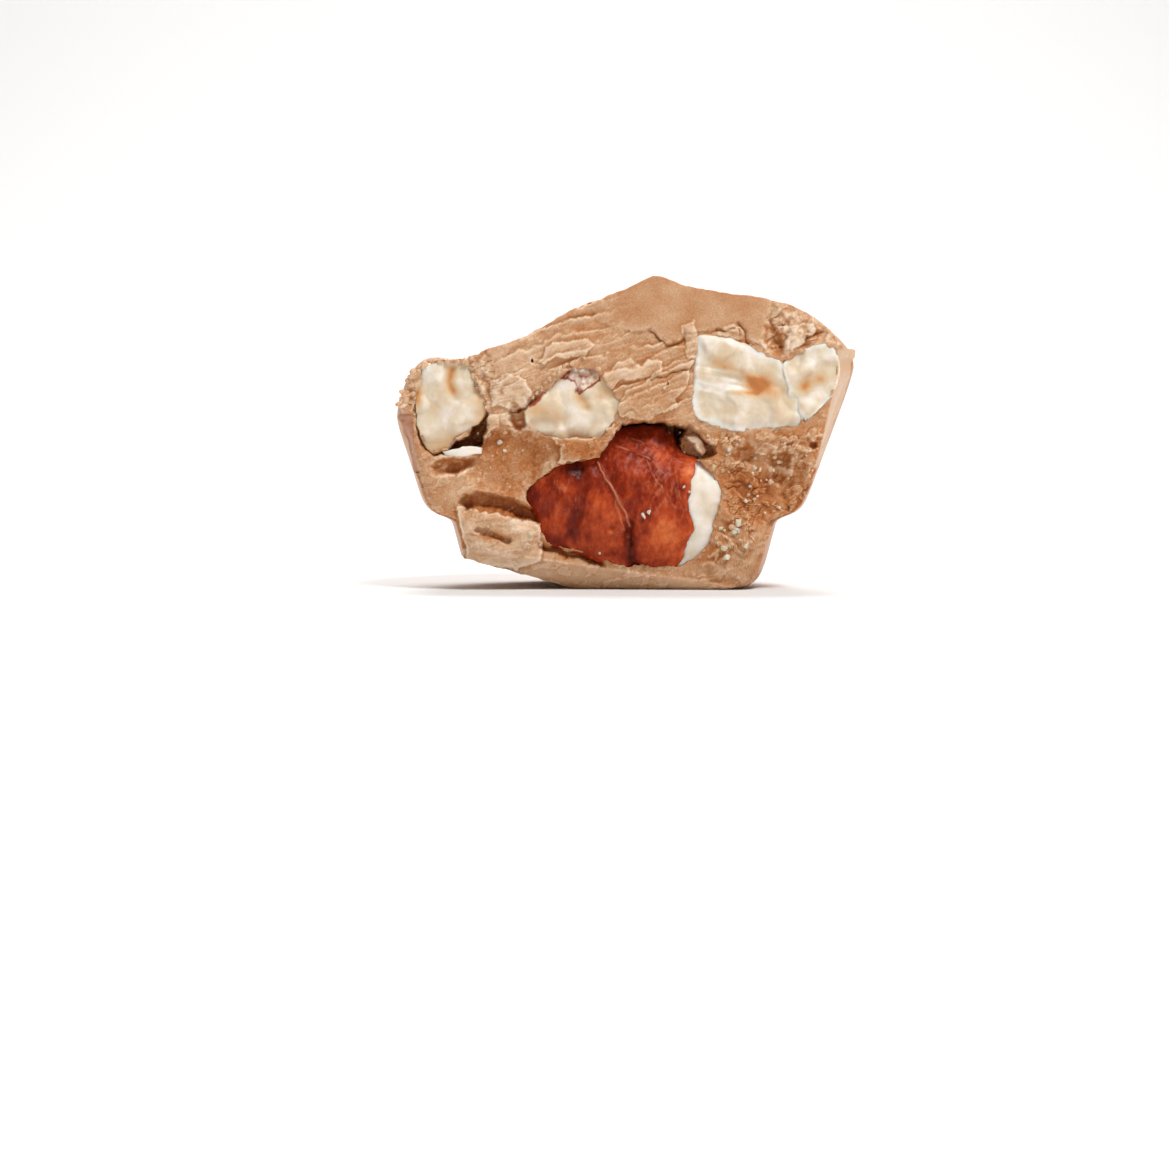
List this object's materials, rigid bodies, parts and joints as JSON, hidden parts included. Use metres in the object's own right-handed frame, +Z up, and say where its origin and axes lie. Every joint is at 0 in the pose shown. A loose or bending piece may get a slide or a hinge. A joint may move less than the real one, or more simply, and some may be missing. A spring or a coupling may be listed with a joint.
{
  "type": "halved chocolate nut cup",
  "caption": "Half of a milk-chocolate nut cup with a stepped foot, flaring wall and lopsided crown, broken open to show flaky chocolate, pale kernels and a red-skinned nut.",
  "frame": {"origin": "on the surface it stands on, under the middle of its bounding box", "axes": "+Z up; -Y out of the broken face, towards the viewer; +X to the right in the broken face, where the rim is higher"},
  "size_m": [0.0376, 0.0244, 0.0254],
  "materials": {
    "milk_chocolate": "satin milk chocolate, crumbly and paler where it is broken",
    "nut_kernel": "dry cream-coloured nut flesh with tan patches",
    "nut_skin": "thin glossy red-brown nut skin, orange where it wears through"
  },
  "bodies": {
    "root": {"chocolate": "milk_chocolate", "nut_left": "nut_kernel", "nut_middle": "nut_kernel", "nut_right": "nut_kernel", "nut_right_rear": "nut_kernel", "nut_shard": "nut_kernel", "nut_skinned": "nut_skin"}
  },
  "joints": []
}
